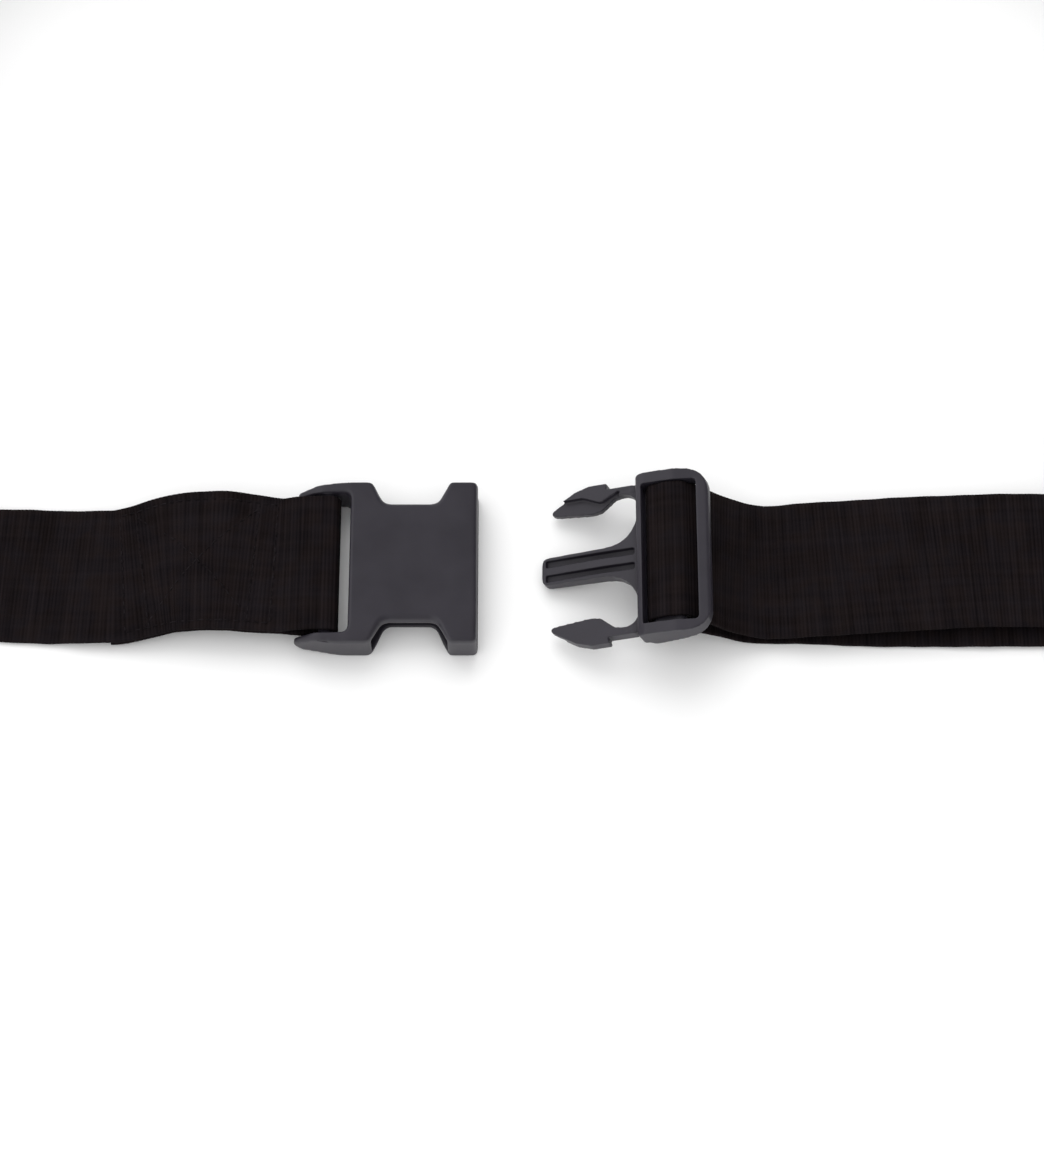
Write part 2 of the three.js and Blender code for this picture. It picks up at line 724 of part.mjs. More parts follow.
const gaitBelt = new THREE.Group();
gaitBelt.add(named('receiver', toGeometry(receiverSolid()), bucklePlastic()));
gaitBelt.add(prongHalf());
gaitBelt.add(webbing());
gaitBelt.add(sewing());

export default gaitBelt;
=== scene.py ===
# Gait belt: ribbed black webbing, sewn with a box and cross, and a side-release buckle.
# Metres, +Z up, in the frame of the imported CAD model: X along the front of the belt, Y to its back.
# The pieces take their places from that model, and stand in for its plainer solids.

import json
import math

import bmesh
import bpy
import numpy as np
from mathutils import Matrix, Vector
from mathutils.kdtree import KDTree

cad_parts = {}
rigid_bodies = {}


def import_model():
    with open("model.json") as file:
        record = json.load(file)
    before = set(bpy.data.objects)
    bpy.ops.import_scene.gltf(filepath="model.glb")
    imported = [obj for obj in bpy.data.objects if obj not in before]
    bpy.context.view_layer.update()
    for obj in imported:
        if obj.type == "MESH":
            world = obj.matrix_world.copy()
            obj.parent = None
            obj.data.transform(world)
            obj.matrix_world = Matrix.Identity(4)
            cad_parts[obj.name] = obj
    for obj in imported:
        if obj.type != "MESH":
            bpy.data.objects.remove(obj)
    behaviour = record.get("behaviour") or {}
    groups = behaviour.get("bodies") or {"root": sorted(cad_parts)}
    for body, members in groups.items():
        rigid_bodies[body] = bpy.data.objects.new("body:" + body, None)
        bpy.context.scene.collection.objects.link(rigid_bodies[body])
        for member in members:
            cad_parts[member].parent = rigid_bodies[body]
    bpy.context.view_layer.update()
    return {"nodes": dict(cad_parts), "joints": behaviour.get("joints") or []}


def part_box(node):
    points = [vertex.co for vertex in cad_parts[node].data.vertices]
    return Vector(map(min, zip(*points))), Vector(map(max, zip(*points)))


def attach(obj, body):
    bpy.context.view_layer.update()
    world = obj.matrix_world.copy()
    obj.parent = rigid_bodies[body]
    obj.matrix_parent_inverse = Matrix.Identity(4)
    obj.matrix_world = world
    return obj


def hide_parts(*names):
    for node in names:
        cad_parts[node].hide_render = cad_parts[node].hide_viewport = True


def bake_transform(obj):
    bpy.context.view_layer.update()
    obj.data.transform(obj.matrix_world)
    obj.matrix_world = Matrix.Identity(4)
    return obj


for leftover in list(bpy.data.objects):
    bpy.data.objects.remove(leftover)

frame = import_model()

MM = 0.001

# Webbing
WEB_WIDTH = 50 * MM
WEB_THICK = 1.5 * MM
EDGE_ROUND = 0.62 * MM
RIB_PITCH = 1.25 * MM
RIB_DEPTH = 0.15 * MM
SAMPLES_PER_RIB = 4
WAVE_HEIGHT = 0.55 * MM
CROWN = 0.7 * MM
AGAINST_FAR_CHEEK = 0.85 * MM
SHIFT_FADES = (100 * MM, 117 * MM)  # along X, behind the prong half, from full to none
LEFT_WAVES = (50 * MM, 78 * MM, 125 * MM, 150 * MM)  # along -X: they rise, then they fade
RIGHT_WAVES = (126 * MM, 150 * MM, 190 * MM, 215 * MM)  # along +X
YARN_BAND = 6.4 * MM
FOLD_ROUNDING = 1.1 * MM
RIB_MEAN = 0.64  # of the ribs' absolute sine, so that they don't thicken the webbing

# Sewing
STITCH_LENGTH = 2.5 * MM
STITCH_GAP = 0.5 * MM
STITCH_SWAY = 0.12 * MM
THREAD_RADIUS = 0.27 * MM
PUCKER_DEPTH = 0.42 * MM
PUCKER_REACH = 1.3 * MM
SEAM_ROW_STEP = 7 * MM
SEAM_HALF = 22 * MM
HALF_ROW = 0.45 * MM  # the rows' middles lie this far inside the CAD thread's box
THREAD_SINK = 0.6 * PUCKER_DEPTH
RIPPLE_HEIGHT = 0.09 * MM
HEM_SINK = 0.12 * MM
PLACES_PER_ROW = 24

# Where the strap's pieces end, and the spans over which it bends, as distances along X
UPPER_BEND = (14 * MM, -3 * MM)  # from the hinge line where the webbing leaves the table
LOWER_BEND = (14 * MM, -14 * MM)
SEAM_TO_LOOP = 42 * MM
LEAD_TO_BACK = 90 * MM
BAR_CLEARED = 12 * MM
SEWN_REACH = 110 * MM

# Moulded plastic
RECEIVER_VOXEL = 0.38 * MM
PRONG_VOXEL = 0.3 * MM
NOTCH_ROLL = 2.2 * MM
RIM_ROLL = 1.1 * MM
CEILING = 1.25 * MM
WINDOW_SPAN = (-16 * MM, -10 * MM, 6 * MM, 13 * MM)  # along X: the roll widens, then narrows
RAIL_SPAN = (-38 * MM, -24 * MM)  # along X: from a rail's nose, which has no rolled rim
ROLLED_SHELL = 4.8 * MM  # how deep below the top a rolled rim still bends the wall
RECEIVER_ROUNDS = 5
PRONG_ROUNDS = 4
RAIL_ROUNDS = 16
FILLET_HALF_HEIGHT = 1.9 * MM
HINGE_U = 11 * MM
ARM_SPLIT_U = -3.2 * MM
BLADE_SIDE = 16 * MM

# Camera
CAMERA_ELEVATION = math.radians(66)
CAMERA_DISTANCE = 1.0
CAMERA_LENS = 89
VIEW_CENTRE_FROM_RECEIVER = Vector((46.2, -4.6, 0)) * MM

# Light
SKY_LEVELS = (1.4, 0.74)  # at its left and right
REFLECTED_LEVELS = (0.95, 0.16)
KEY_PLACE = (-0.2, 1.15, 1.15)
KEY_SIZE = 1.6
KEY_POWER = 11

# Comparing the CAD's corners, in metres
SAME_POINT = 1e-6
SAME_LENGTH = 2e-5
RIGHT_ANGLE = 1e-8


def smooth(value, start, end):
    share = np.clip((value - start) / (end - start), 0, 1)
    return share * share * (3 - 2 * share)


# ---------------------------------------------------------------- where the frame puts things

joints = {joint["name"]: joint for joint in frame["joints"]}
receiver_low, receiver_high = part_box("receiver")
upper_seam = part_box("box_thread_upper")


def prong_matrix():
    """From level prong coordinates (u along, v across, w up) to the row frame at rest."""
    up = Vector(joints["latch_far_press"]["axis"]).normalized()
    across = Vector((0, 1, 0))
    along = across.cross(up).normalized()
    root = Vector(joints["prong_level"]["pos_m"]) - along * HINGE_U
    turned = Matrix((along, across, up)).transposed().to_4x4()
    return Matrix.Translation(root) @ turned


# ---------------------------------------------------------------- the strap's path


def webbing_sections(node):
    """The CAD webbing's cross-sections, each a middle point and a width direction, in order."""
    mesh = frame["nodes"][node].data
    corners = np.array([vertex.co for vertex in mesh.vertices])
    keys = np.round(corners / SAME_POINT).astype(int)
    first, merged = np.unique(keys, axis=0, return_index=True, return_inverse=True)[1:]
    merged = merged.ravel()
    points = corners[first]
    pairs = (edge.vertices for edge in mesh.edges)
    links = {tuple(sorted((merged[a], merged[b]))) for a, b in pairs}
    links = {link for link in links if link[0] != link[1]}

    def partners(length):
        found = {}
        for a, b in links:
            if abs(np.linalg.norm(points[a] - points[b]) - length) < SAME_LENGTH:
                found.setdefault(a, []).append(b)
                found.setdefault(b, []).append(a)
        return found

    def square(a, b, c):
        return abs((points[a] - points[b]) @ (points[a] - points[c])) < RIGHT_ANGLE

    wide = partners(WEB_WIDTH)
    thin = partners(WEB_THICK)
    section_of = {}
    sections = []
    for a in range(len(points)):
        if a in section_of:
            continue
        for b in thin[a]:
            match = [
                (c, d)
                for c in wide[a]
                for d in thin[c]
                if d in wide[b] and square(a, b, c)
            ]
            if match:
                c, d = match[0]
                for corner in (a, b, c, d):
                    section_of[corner] = len(sections)
                across = points[c] - points[a]
                sections.append((points[[a, b, c, d]].mean(0), across / np.linalg.norm(across)))
                break
    beside = {index: set() for index in range(len(sections))}
    for a, b in links:
        i, j = section_of[a], section_of[b]
        if i != j:
            beside[i].add(j)
            beside[j].add(i)
    here = min(index for index in beside if len(beside[index]) == 1)
    order = [here]
    while True:
        ahead = [index for index in beside[here] if index not in order]
        if not ahead:
            break
        here = ahead[0]
        order.append(here)
    return [sections[index] for index in order]


def strap_sections():
    """The whole strap as one path: sewn end, bar, loop, lead, prong half, tail, folded end."""
    path = []
    marks = {}
    nodes = (
        "belt_webbing",
        "lead_webbing",
        "adjuster_upper_ply",
        "adjuster_loop",
        "adjuster_lower_ply",
        "tail_webbing",
    )
    left_of_bar = np.array((receiver_low.x * 2.5, 0, 0))
    for node in nodes:
        run = webbing_sections(node)
        near = path[-1][0] if path else left_of_bar
        if np.linalg.norm(run[-1][0] - near) < np.linalg.norm(run[0][0] - near):
            run = run[::-1]
        marks[node] = len(path)
        if node.startswith("adjuster"):
            run = [(against_far_cheek(middle), across) for middle, across in run]
        if node == "adjuster_loop":
            run = crowned(run)
        path += run
    return path, marks


def against_far_cheek(middle):
    """In the prong half's window the webbing sits against the far side."""
    share = 1 - smooth(middle[0], *SHIFT_FADES)
    return middle + np.array((0, AGAINST_FAR_CHEEK * share, 0))


def crowned(run):
    """Raises the webbing's middle over the flat of the centre bar, where it bows up."""
    gaps = [np.linalg.norm(after[0] - before[0]) for before, after in zip(run, run[1:])]
    flat = int(np.argmax(gaps))
    up = np.array(joints["latch_far_press"]["axis"])
    middle = (run[flat][0] + run[flat + 1][0]) / 2 + up * CROWN
    return run[: flat + 1] + [(middle, run[flat][1])] + run[flat + 1 :]


def round_curve(points, fine):
    """Points along a smooth curve through the given ones, `fine` to each span."""
    before = 2 * points[0] - points[1]
    after = 2 * points[-1] - points[-2]
    padded = np.vstack([before, points, after])
    share = np.linspace(0, 1, fine, endpoint=False)[:, None]
    pieces = []
    for a, b, c, d in zip(padded, padded[1:], padded[2:], padded[3:]):
        reach = np.linalg.norm(c - b)
        out = (c - a) / max(np.linalg.norm(b - a) + reach, 1e-9) * reach
        into = (d - b) / max(np.linalg.norm(d - c) + reach, 1e-9) * reach
        square = share**2
        cube = share**3
        pieces.append(
            b * (2 * cube - 3 * square + 1)
            + out * (cube - 2 * square + share)
            + c * (3 * square - 2 * cube)
            + into * (cube - square)
        )
    return np.vstack(pieces + [points[-1:]])


class Strap:
    """The strap's middle line as functions of the distance walked along it."""

    FINE = 12

    def __init__(self):
        sections, marks = strap_sections()
        middles = np.array([middle for middle, across in sections])
        widths = [sections[0][1]]
        for middle, across in sections[1:]:
            widths.append(across if across @ widths[-1] > 0 else -across)
        self.middle = round_curve(middles, self.FINE)
        self.width = round_curve(np.array(widths), self.FINE)
        steps = np.linalg.norm(np.diff(self.middle, axis=0), axis=1)
        self.walked = np.concatenate([[0], np.cumsum(steps)])
        self.length = self.walked[-1]
        self.marks = {node: self.walked[index * self.FINE] for node, index in marks.items()}

    def at(self, walked):
        """Middle, width direction and outward normal at distances along the strap."""
        def look_up(table, places):
            return np.stack([np.interp(places, self.walked, column) for column in table.T], 1)

        step = 0.3 * MM
        middle = look_up(self.middle, walked)
        along = look_up(self.middle, walked + step) - look_up(self.middle, walked - step)
        along /= np.linalg.norm(along, axis=1)[:, None]
        width = look_up(self.width, walked)
        width -= along * (width * along).sum(1)[:, None]
        width /= np.linalg.norm(width, axis=1)[:, None]
        outward = np.cross(width, along)
        return middle, width, outward

    def where(self, axis, value, start, end):
        """Distance walked where the path first passes a coordinate, between two distances."""
        inside = np.flatnonzero((self.walked >= start) & (self.walked <= end))
        offset = self.middle[inside, axis] - value
        crossing = np.flatnonzero(offset[:-1] * offset[1:] <= 0)
        index = inside[crossing[0]]
        before, after = offset[crossing[0]], offset[crossing[0] + 1]
        share = abs(before) / max(abs(before - after), 1e-12)
        return self.walked[index] + share * (self.walked[index + 1] - self.walked[index])


strap = Strap()
# The side of the strap that faces up on the flat runs is its outer side.
on_lead = np.array([strap.marks["lead_webbing"] + 20 * MM])
OUTER = 1.0 if strap.at(on_lead)[2][0][2] > 0 else -1.0


# ---------------------------------------------------------------- the seam's rows

SEAM_LEFT = upper_seam[0].x + HALF_ROW
SEAM_RIGHT = upper_seam[1].x - HALF_ROW


def seam_rows():
    """Sewn lines as (x, offset) to (x, offset), offsets from the strap's middle line."""
    ends = [SEAM_LEFT, SEAM_LEFT + SEAM_ROW_STEP, SEAM_RIGHT - SEAM_ROW_STEP, SEAM_RIGHT]
    box = [((x, -SEAM_HALF), (x, SEAM_HALF)) for x in ends]
    box += [((SEAM_LEFT, side * SEAM_HALF), (SEAM_RIGHT, side * SEAM_HALF)) for side in (-1, 1)]
    reach = SEAM_HALF - 2 * MM
    cross = [((ends[1], -side * reach), (ends[2], side * reach)) for side in (-1, 1)]
    return box, cross


BOX_ROWS, CROSS_ROWS = seam_rows()


def distance_to_rows(x, offset):
    """How far points of the front run are from the nearest sewn line."""
    nearest = np.full(x.shape, 1.0)
    for (x0, y0), (x1, y1) in BOX_ROWS + CROSS_ROWS:
        length = math.hypot(x1 - x0, y1 - y0)
        share = np.clip(((x - x0) * (x1 - x0) + (offset - y0) * (y1 - y0)) / length**2, 0, 1)
        away = np.hypot(x - x0 - share * (x1 - x0), offset - y0 - share * (y1 - y0))
        nearest = np.minimum(nearest, away)
    return nearest


def pucker(x, offset):
    """How far the sewing pulls the outer face in."""
    dimple = 0.6 + 0.4 * np.cos(2 * math.pi * (x + offset) / (STITCH_LENGTH + STITCH_GAP))
    pulled = PUCKER_DEPTH * dimple * np.exp(-((distance_to_rows(x, offset) / PUCKER_REACH) ** 2))
    fade = 4 * MM
    inside = smooth(x, SEAM_LEFT - fade, SEAM_LEFT) * (1 - smooth(x, SEAM_RIGHT, SEAM_RIGHT + fade))
    ripple = RIPPLE_HEIGHT * np.sin(x / (3.1 * MM) + 2 * np.sin(offset / (9 * MM)))
    return inside * (pulled + ripple * np.cos(offset / (5.3 * MM)))


# ---------------------------------------------------------------- ribbons


def lift_in_waves(points):
    """The flat runs at the front don't lie quite flat: both plies lift off in the same soft waves."""
    x, y = points[..., 0], points[..., 1]
    left = smooth(-x, *LEFT_WAVES[:2]) * (1 - smooth(-x, *LEFT_WAVES[2:]))
    right = smooth(x, *RIGHT_WAVES[:2]) * (1 - smooth(x, *RIGHT_WAVES[2:]))
    front = 1 - smooth(np.abs(y), 32 * MM, 45 * MM)
    slow = np.sin(x / (12 * MM) + 1.2 * np.sin(y / (14 * MM)))
    quick = np.sin(x / (6.7 * MM) - y / (8 * MM))
    points[..., 2] += WAVE_HEIGHT * (left + right) * front * (0.5 + 0.33 * slow + 0.17 * quick)


def section_outline(columns):
    """Offsets and heights round the webbing's section, anticlockwise from the lower -edge."""
    flat = WEB_WIDTH / 2 - EDGE_ROUND
    across = np.linspace(-flat, flat, columns)
    turns = np.radians([-60, -30, 0, 30, 60])
    edge = np.stack([flat + EDGE_ROUND * np.cos(turns), WEB_THICK / 2 * np.sin(turns)], 1)
    lower = np.stack([across, np.full(columns, -WEB_THICK / 2)], 1)
    upper = np.stack([across[::-1], np.full(columns, WEB_THICK / 2)], 1)
    return np.vstack([lower, edge, upper, -edge])


def ribbon(name, start, end, columns=24, sealed=(False, False)):
    """A run of webbing between two distances, ribbed across and puckered where it is sewn."""
    rows = max(8, int(round((end - start) / RIB_PITCH * SAMPLES_PER_RIB)))
    walked = np.linspace(start, end, rows + 1)
    outline = section_outline(columns)
    middle, width, outward = strap.at(walked)
    outward = outward * OUTER
    offset = outline[:, 0][None, :]
    height = np.repeat(outline[:, 1][None, :], rows + 1, 0)

    rib = RIB_DEPTH * (np.abs(np.sin(math.pi * walked / RIB_PITCH)) - RIB_MEAN)[:, None]
    yarn_band = 1 + 0.35 * np.sin(2 * math.pi * offset / YARN_BAND)
    height = height + np.sign(height) * rib * yarn_band

    x_here = middle[:, :1] + width[:, :1] * offset
    sewn_run = (walked < strap.marks["lead_webbing"] * 0.3)[:, None]
    outer_face = np.clip(height / (WEB_THICK / 2), 0, 1)
    height = height - pucker(x_here, offset * np.ones_like(x_here)) * outer_face * sewn_run

    tight = np.ones((rows + 1, 1))
    for closed, distance in ((sealed[0], walked - start), (sealed[1], end - walked)):
        if closed:
            tight[:, 0] *= 0.45 + 0.55 * smooth(distance, 0, FOLD_ROUNDING)
    height = height * tight
    edge_wave = 1 + 0.003 * np.sin(walked / (5.7 * MM)) + 0.002 * np.sin(walked / (1.9 * MM))
    across = offset * edge_wave[:, None]
    points = (
        middle[:, None, :]
        + width[:, None, :] * across[:, :, None]
        + outward[:, None, :] * height[:, :, None]
    )
    lift_in_waves(points)
    ring = len(outline)
    index = np.arange((rows + 1) * ring).reshape(rows + 1, ring)
    nxt = np.roll(index, -1, 1)
    quads = np.stack([index[:-1], nxt[:-1], nxt[1:], index[1:]], -1).reshape(-1, 4)
    piece = mesh_piece(name, points.reshape(-1, 3), quads.tolist())
    uv = np.stack([np.repeat(walked, ring), np.tile(outline[:, 0], rows + 1)], 1) / MM
    add_uv(piece, uv)
    cap_ends(piece, index[0], index[-1])
    return piece


def new_object(name, data):
    thing = bpy.data.objects.new(name, data)
    bpy.context.scene.collection.objects.link(thing)
    return thing


def mesh_from(shape, name):
    """A new mesh that holds a bmesh, which is then freed."""
    mesh = bpy.data.meshes.new(name)
    shape.to_mesh(mesh)
    shape.free()
    return mesh


def shade_smooth(mesh):
    mesh.polygons.foreach_set("use_smooth", [True] * len(mesh.polygons))


def mesh_piece(name, points, faces):
    mesh = bpy.data.meshes.new(name)
    mesh.from_pydata([tuple(point) for point in points], [], faces)
    mesh.update()
    shade_smooth(mesh)
    return new_object(name, mesh)


def add_uv(piece, uv):
    """Stores each point's place on the flat webbing, in millimetres, for the weave."""
    layer = piece.data.uv_layers.new(name="weave")
    corner_vertex = np.zeros(len(piece.data.loops), int)
    piece.data.loops.foreach_get("vertex_index", corner_vertex)
    layer.data.foreach_set("uv", uv[corner_vertex].astype(np.float32).ravel())


def cap_ends(piece, first, last):
    """Closes both ends and turns all faces outward."""
    shape = bmesh.new()
    shape.from_mesh(piece.data)
    shape.verts.ensure_lookup_table()
    for ring in (first, last):
        cap = shape.faces.new([shape.verts[int(i)] for i in ring])
        cap.smooth = False
        for edge in cap.edges:
            edge.smooth = False
    bmesh.ops.recalc_face_normals(shape, faces=shape.faces)
    shape.to_mesh(piece.data)
    shape.free()


# ---------------------------------------------------------------- stitches


def stitch(start, end, normal, sides=7, rings=9):
    """One stitch: a twisted thread that rises out of the cloth, lies on it and dips back in."""
    share = np.linspace(0, 1, rings)
    along = end - start
    length = np.linalg.norm(along)
    along = along / length
    side = np.cross(normal, along)
    arch = THREAD_RADIUS * (1.4 * np.sin(math.pi * share) ** 0.5 - 1.1)
    centre = start + share[:, None] * (end - start) + normal * arch[:, None]
    turns = np.arange(sides) * 2 * math.pi / sides
    twist = 1 + 0.16 * np.cos(2 * turns[None, :] + 9 * share[:, None])
    radius = THREAD_RADIUS * twist * (0.75 + 0.25 * np.sin(math.pi * share))[:, None]
    ring_points = (
        centre[:, None, :]
        + side * (radius * np.cos(turns))[:, :, None]
        + normal * (radius * np.sin(turns))[:, :, None]
    )
    faces = []
    for here in range(0, (rings - 1) * sides, sides):
        above = here + sides
        for k in range(sides):
            after = (k + 1) % sides
            faces.append((here + k, here + after, above + after, above + k))
    faces.append(tuple(range(sides))[::-1])
    faces.append(tuple((rings - 1) * sides + k for k in range(sides)))
    return ring_points.reshape(-1, 3), faces


def sewn_line(places):
    """Stitches along a polyline of (point, normal) pairs, one stitch and gap after another."""
    points = np.array([point for point, normal in places])
    normals = np.array([normal for point, normal in places])
    steps = np.concatenate([[0], np.cumsum(np.linalg.norm(np.diff(points, axis=0), axis=1))])
    count = max(1, int(steps[-1] / (STITCH_LENGTH + STITCH_GAP)))
    pitch = steps[-1] / count
    made = []
    for number in range(count):
        ends = np.array([number * pitch + STITCH_GAP / 2, (number + 1) * pitch - STITCH_GAP / 2])
        place = [np.interp(ends, steps, points[:, axis]) for axis in range(3)]
        start, end = np.stack(place, 1)
        sway = STITCH_SWAY * np.sin(2.4 * number + np.array([0, 1.9]))
        start[:2] += sway[0]
        end[:2] += sway[1]
        normal = np.array([np.interp(ends.mean(), steps, normals[:, axis]) for axis in range(3)])
        made.append(stitch(start, end, normal / np.linalg.norm(normal)))
    return made


def outer_surface(walked, offset):
    """Point and outward normal on the outer face of the strap."""
    middle, width, outward = strap.at(np.array([walked]))
    outward = outward[0] * OUTER
    point = middle[0] + width[0] * offset + outward * (WEB_THICK / 2)
    return point, outward


def row_places(row, start, end):
    """A seam row's places on the ply that lies between two distances along the strap."""
    (x0, y0), (x1, y1) = row
    places = []
    for share in np.linspace(0, 1, PLACES_PER_ROW):
        walked = strap.where(0, x0 + share * (x1 - x0), start, end)
        offset = y0 + share * (y1 - y0)
        point, normal = outer_surface(walked, offset)
        lift_in_waves(point)
        places.append((point - normal * THREAD_SINK, normal))
    return places


def thread_piece(name, lines):
    """One piece holding every stitch of some sewn lines."""
    points = []
    faces = []
    for line in lines:
        for some_points, some_faces in sewn_line(line):
            base = len(points)
            points.extend(some_points)
            faces.extend(tuple(base + index for index in face) for face in some_faces)
    piece = mesh_piece(name, points, faces)
    shape = bmesh.new()
    shape.from_mesh(piece.data)
    bmesh.ops.recalc_face_normals(shape, faces=shape.faces)
    shape.to_mesh(piece.data)
    shape.free()
    return piece


# ---------------------------------------------------------------- moulded plastic


def merged_copy(name, nodes, to_local):
    """A new mesh piece from CAD nodes, in local coordinates."""
    shape = bmesh.new()
    for node in nodes:
        mesh = frame["nodes"][node].data.copy()
        mesh.transform(to_local)
        shape.from_mesh(mesh)
    bmesh.ops.remove_doubles(shape, verts=shape.verts, dist=SAME_POINT)
    return new_object(name, mesh_from(shape, name))


def apply_modifiers(piece):
    graph = bpy.context.evaluated_depsgraph_get()
    mesh = bpy.data.meshes.new_from_object(piece.evaluated_get(graph))
    piece.modifiers.clear()
    piece.data = mesh


def moulded(piece, voxel, rounds):
    """Remeshes finely and eases every edge, as a moulding has them."""
    remesh = piece.modifiers.new("fine", "REMESH")
    remesh.mode = "VOXEL"
    remesh.voxel_size = voxel
    ease = piece.modifiers.new("ease", "SMOOTH")
    ease.factor = 0.5
    ease.iterations = rounds
    apply_modifiers(piece)
    shade_smooth(piece.data)


def vertex_array(mesh, field):
    values = np.zeros(len(mesh.vertices) * 3)
    mesh.vertices.foreach_get(field, values)
    return values.reshape(-1, 3)


def roll_rims(piece):
    """Curls the top shell down towards its outline, most of all at the two side windows."""
    points = vertex_array(piece.data, "co")
    normals = vertex_array(piece.data, "normal")
    top = receiver_high.z
    above_ceiling = points[:, 2] > top - CEILING
    wall = np.flatnonzero((np.abs(normals[:, 2]) < 0.6) & above_ceiling)
    tree = KDTree(len(wall))
    for number, index in enumerate(wall):
        tree.insert((points[index, 0], points[index, 1], 0), number)
    tree.balance()
    high = np.flatnonzero(points[:, 2] > top - ROLLED_SHELL)
    for index in high:
        x, y, z = points[index]
        away = tree.find((x, y, 0))[2]
        in_window = float(smooth(x, *WINDOW_SPAN[:2]) * (1 - smooth(x, *WINDOW_SPAN[2:])))
        off_rail = float(smooth(x, *RAIL_SPAN))
        radius = (RIM_ROLL + (NOTCH_ROLL - RIM_ROLL) * in_window) * off_rail
        if away < radius:
            drop = radius - math.sqrt(radius**2 - (radius - away) ** 2)
            points[index, 2] = z - drop * float(smooth(z, top - ROLLED_SHELL, top - 1.6 * MM))
    piece.data.vertices.foreach_set("co", points.ravel())
    piece.data.update()


def remember_rest(piece):
    """Keeps each point's place at rest, so that the grain stays put when a piece bends."""
    points = vertex_array(piece.data, "co")
    attribute = piece.data.attributes.new("rest_place", "FLOAT_VECTOR", "POINT")
    attribute.data.foreach_set("vector", points.astype(np.float32).ravel())


def soften_rails(piece):
    """The two rails beside the webbing are smoothly curved noses."""
    points = vertex_array(piece.data, "co")
    group = piece.vertex_groups.new(name="rails")
    share = smooth(-points[:, 0], 23 * MM, 31 * MM)
    for index in np.flatnonzero(share > 0):
        group.add([int(index)], float(share[index]), "REPLACE")
    soften = piece.modifiers.new("soften", "SMOOTH")
    soften.vertex_group = "rails"
    soften.iterations = RAIL_ROUNDS
    apply_modifiers(piece)


def make_receiver():
    piece = merged_copy("receiver_shell", ["receiver"], Matrix.Identity(4))
    moulded(piece, RECEIVER_VOXEL, RECEIVER_ROUNDS)
    soften_rails(piece)
    roll_rims(piece)
    remember_rest(piece)
    return piece


def root_fillet(side):
    """The fillet of plastic where an arm flows into the frame, as an outline in (u, v)."""
    share = np.linspace(0, 1, 9)[:, None]
    on_arm, corner, on_frame = np.array([(-7.5, 24.9), (-1.4, 25.0), (-0.9, 19.6)])
    curve = (1 - share) ** 2 * on_arm + 2 * share * (1 - share) * corner + share**2 * on_frame
    outer_edge = [(-6.5, 27.4), (-0.9, 27.4), (0.2, 28.8), (0.6, 19.6)]
    outline = outer_edge + [tuple(point) for point in curve[::-1]]
    corners = [(u * MM, side * v * MM) for u, v in outline]
    shape = bmesh.new()
    low = [shape.verts.new((u, v, -FILLET_HALF_HEIGHT)) for u, v in corners]
    high = [shape.verts.new((u, v, FILLET_HALF_HEIGHT)) for u, v in corners]
    shape.faces.new(low)
    shape.faces.new(high[::-1])
    for index in range(len(corners)):
        after = (index + 1) % len(corners)
        shape.faces.new([low[index], high[index], high[after], low[after]])
    bmesh.ops.recalc_face_normals(shape, faces=shape.faces)
    return shape


def window_ledge():
    """The low ledge inside the front bar, close to the webbing."""
    shape = bmesh.new()
    bmesh.ops.create_cube(shape, size=1)
    low = Vector((0.2, -26.5, -2)) * MM
    high = Vector((1.9, 26.5, 1)) * MM
    for vertex in shape.verts:
        vertex.co = Vector([(a + b) / 2 + c * (b - a) for a, b, c in zip(low, high, vertex.co)])
    return shape


def add_fillings(piece):
    """Adds the fillets and the ledge to the prong half, before it is remeshed as one."""
    shape = bmesh.new()
    shape.from_mesh(piece.data)
    for filling in (root_fillet(-1), root_fillet(1), window_ledge()):
        mesh = mesh_from(filling, "filling")
        shape.from_mesh(mesh)
        bpy.data.meshes.remove(mesh)
    shape.to_mesh(piece.data)
    shape.free()


def part_of(whole, name, keep):
    """The closed part of a prong half mesh whose faces `keep` accepts, cut at the arms' roots."""
    shape = bmesh.new()
    shape.from_mesh(whole.data)
    everything = list(shape.verts) + list(shape.edges) + list(shape.faces)
    split = {"plane_co": (ARM_SPLIT_U, 0, 0), "plane_no": (1, 0, 0)}
    bmesh.ops.bisect_plane(shape, geom=everything, dist=1e-7, **split)
    unwanted = [face for face in shape.faces if not keep(face.calc_center_median())]
    bmesh.ops.delete(shape, geom=unwanted, context="FACES")
    rim = [edge for edge in shape.edges if edge.is_boundary]
    filled = bmesh.ops.holes_fill(shape, edges=rim, sides=0)
    for face in filled["faces"]:
        face.smooth = False
    for edge in rim:
        edge.smooth = False
    bmesh.ops.recalc_face_normals(shape, faces=shape.faces)
    return new_object(name, mesh_from(shape, name))


def make_prong_half():
    """The frame and blade, and the two spring arms, cut from one moulding."""
    place = prong_matrix()
    nodes = ["prong_frame", "latch_arm_far", "latch_arm_near"]
    whole = merged_copy("prong_half", nodes, place.inverted())
    add_fillings(whole)
    moulded(whole, PRONG_VOXEL, PRONG_ROUNDS)

    def beyond_roots(middle):
        return middle.x < ARM_SPLIT_U and abs(middle.y) > BLADE_SIDE

    far = part_of(whole, "spring_arm_far", lambda middle: beyond_roots(middle) and middle.y > 0)
    near = part_of(whole, "spring_arm_near", lambda middle: beyond_roots(middle) and middle.y < 0)
    body = part_of(whole, "prong_body", lambda middle: not beyond_roots(middle))
    bpy.data.objects.remove(whole)
    for piece in (body, far, near):
        piece.data.transform(place)
        remember_rest(piece)
    return body, far, near


# ---------------------------------------------------------------- materials


